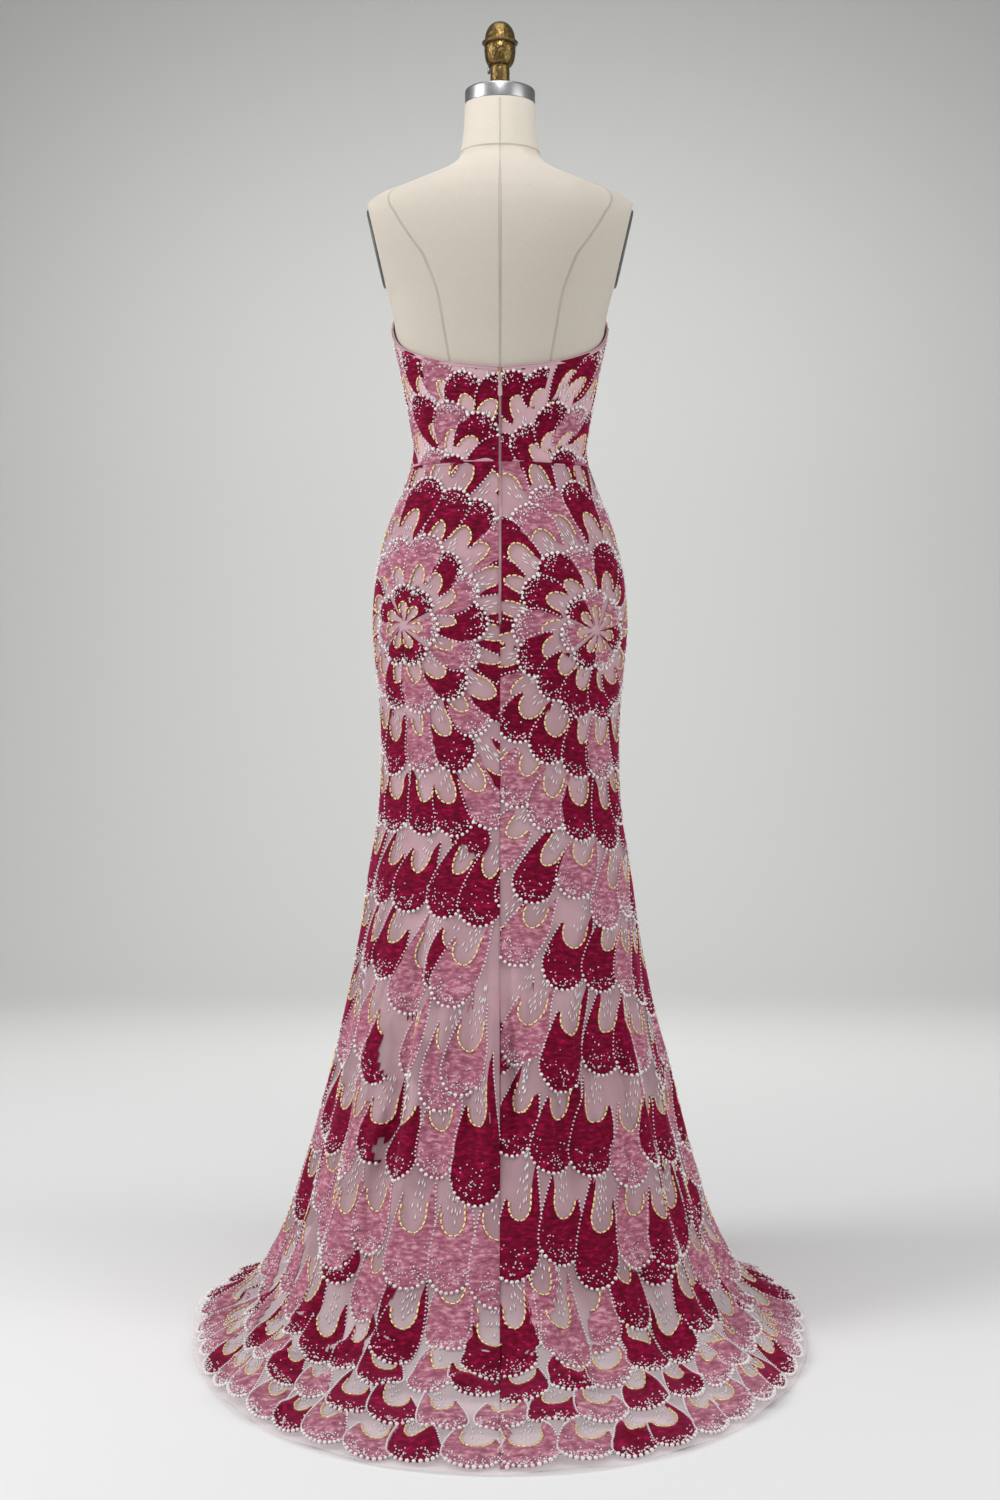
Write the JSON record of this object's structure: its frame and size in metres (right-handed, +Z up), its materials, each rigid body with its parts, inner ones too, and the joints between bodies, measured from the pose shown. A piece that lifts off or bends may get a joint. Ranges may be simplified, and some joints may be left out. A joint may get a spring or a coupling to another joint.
{
  "type": "strapless mermaid prom dress on a dress form",
  "caption": "Strapless floor-length mermaid gown with a sweep train and a centre-back zip, worn by a limbless dress form on a pole and a round base.",
  "frame": {"origin": "on the floor at the centre of the base's flat underside, under the pole", "axes": "+Z up along the pole; +Y towards the back of the dress, its zip and its train; +X towards the left side of the dress"},
  "size_m": [0.8194, 1.0698, 1.785],
  "materials": {
    "beaded_net": "sheer net over satin, with velvet petals and beads",
    "satin_lining": "dusty pink satin",
    "dark_velvet": "dark red velvet with a magenta sheen",
    "rose_velvet": "dusty rose crushed velvet",
    "pearl": "white pearl beads",
    "bugle_gold": "gold bugle beads",
    "clear_bead": "silver and clear beads",
    "zip_metal": "pink lacquer",
    "linen_cover": "cream linen",
    "collar_steel": "brushed",
    "knob_brass": "hammered antique gold",
    "arm_plate": "grey green satin paint",
    "pole_steel": "brushed",
    "base_iron": "black paint"
  },
  "bodies": {
    "root": {"bodice_front": "beaded_net", "bodice_back_left": "beaded_net", "bodice_back_right": "beaded_net", "skirt_front": "beaded_net", "skirt_back_left": "beaded_net", "skirt_back_right": "beaded_net", "lining_front": "satin_lining", "lining_back_left": "satin_lining", "lining_back_right": "satin_lining", "zip_tape_left": "satin_lining", "zip_tape_right": "satin_lining", "zip_slider": "zip_metal", "form_torso": "linen_cover", "form_collar": "collar_steel", "form_knob": "knob_brass", "form_knob_cap": "knob_brass", "form_knob_screw": "collar_steel", "form_arm_plate_left": "arm_plate", "form_arm_plate_right": "arm_plate", "form_pole": "pole_steel", "form_base": "base_iron"},
    "zip_pull": {"zip_pull": "zip_metal"}
  },
  "joints": [
    {"name": "zip_pull_swing", "type": "hinge", "parent": "root", "child": "zip_pull", "pos_m": [0, 0.09372, 1.26763], "axis": [1, 0, 0], "range_deg": [0, 160]}
  ]
}
